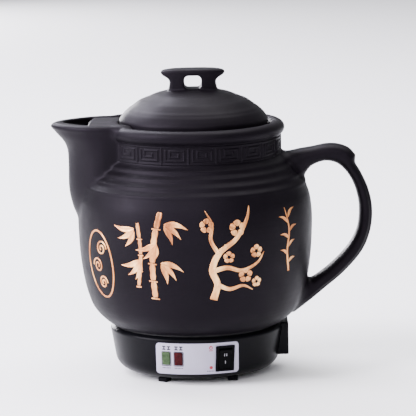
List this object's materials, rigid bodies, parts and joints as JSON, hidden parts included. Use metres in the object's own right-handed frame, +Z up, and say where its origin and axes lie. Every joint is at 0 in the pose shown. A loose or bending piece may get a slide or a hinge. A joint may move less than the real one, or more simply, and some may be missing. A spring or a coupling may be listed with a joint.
{
  "type": "electric herbal decoction pot",
  "caption": "Dark stoneware simmering pot with spout, ear handle and loose domed lid, on an electric base with rocker switch, signal windows and mains inlet.",
  "frame": {"origin": "centre of the bounding box in X and Y, at the underside of the feet", "axes": "+Z up; the spout points to -X and the handle to +X; the control panel faces -Y"},
  "size_m": [0.251, 0.184, 0.2398],
  "materials": {
    "ceramic": "satin dark brown-black stoneware",
    "base_plastic": "slightly glossy black",
    "foot_rubber": "matt black",
    "silicone": "matt dark grey",
    "panel_plate": "silver white, satin",
    "green_window": "translucent green, unlit",
    "red_window": "translucent dark red, unlit",
    "lamp_glass": "clear",
    "switch_plastic": "glossy black",
    "circuit_board": "green resist",
    "relay_plastic": "blue",
    "terminal_plastic": "green",
    "aluminium": "cast, satin",
    "steel": "zinc plated",
    "brass": "nickel-free, bare",
    "thermostat_body": "off-white",
    "wire_sleeve": "red silicone",
    "neutral_sleeve": "blue silicone",
    "earth_sleeve": "green silicone"
  },
  "bodies": {
    "pot": {"pot_vessel": "ceramic", "seal_ring": "silicone", "base_shell": "base_plastic", "bottom_cover": "base_plastic", "cover_screw_1": "steel", "cover_screw_2": "steel", "cover_screw_3": "steel", "cover_screw_4": "steel", "foot_front_left": "foot_rubber", "foot_front_right": "foot_rubber", "foot_back_right": "foot_rubber", "foot_back_left": "foot_rubber", "control_panel": "panel_plate", "keep_warm_window": "green_window", "boil_window": "red_window", "keep_warm_lamp": "lamp_glass", "boil_lamp": "lamp_glass", "lamp_board": "circuit_board", "switch_housing": "switch_plastic", "switch_terminal_common": "brass", "switch_terminal_high": "brass", "switch_terminal_low": "brass", "inlet_housing": "base_plastic", "inlet_pin_line": "brass", "inlet_pin_neutral": "brass", "inlet_pin_earth": "brass", "heater_plate": "aluminium", "heating_element": "steel", "clamp_bar": "steel", "clamp_screw_1": "steel", "clamp_screw_2": "steel", "clamp_spring": "steel", "thermostat": "thermostat_body", "thermostat_clip": "steel", "thermal_fuse": "thermostat_body", "control_board": "circuit_board", "relay": "relay_plastic", "terminal_block": "terminal_plastic", "wire_line": "wire_sleeve", "wire_neutral": "neutral_sleeve", "wire_earth": "earth_sleeve", "wire_high": "wire_sleeve", "wire_lamps": "wire_sleeve", "wire_heater": "wire_sleeve", "wire_thermostat": "wire_sleeve"},
    "lid": {"lid": "ceramic"},
    "rocker": {"switch_rocker": "switch_plastic"}
  },
  "joints": [
    {"name": "lid_lift", "type": "slide", "parent": "pot", "child": "lid", "axis": [0, 0, 1], "range_m": [0, 0.08]},
    {"name": "rocker_tip", "type": "hinge", "parent": "pot", "child": "rocker", "pos_m": [0.00631, -0.06031, 0.0225], "axis": [0.9489, 0.3156, 0], "range_deg": [-10, 10]}
  ]
}
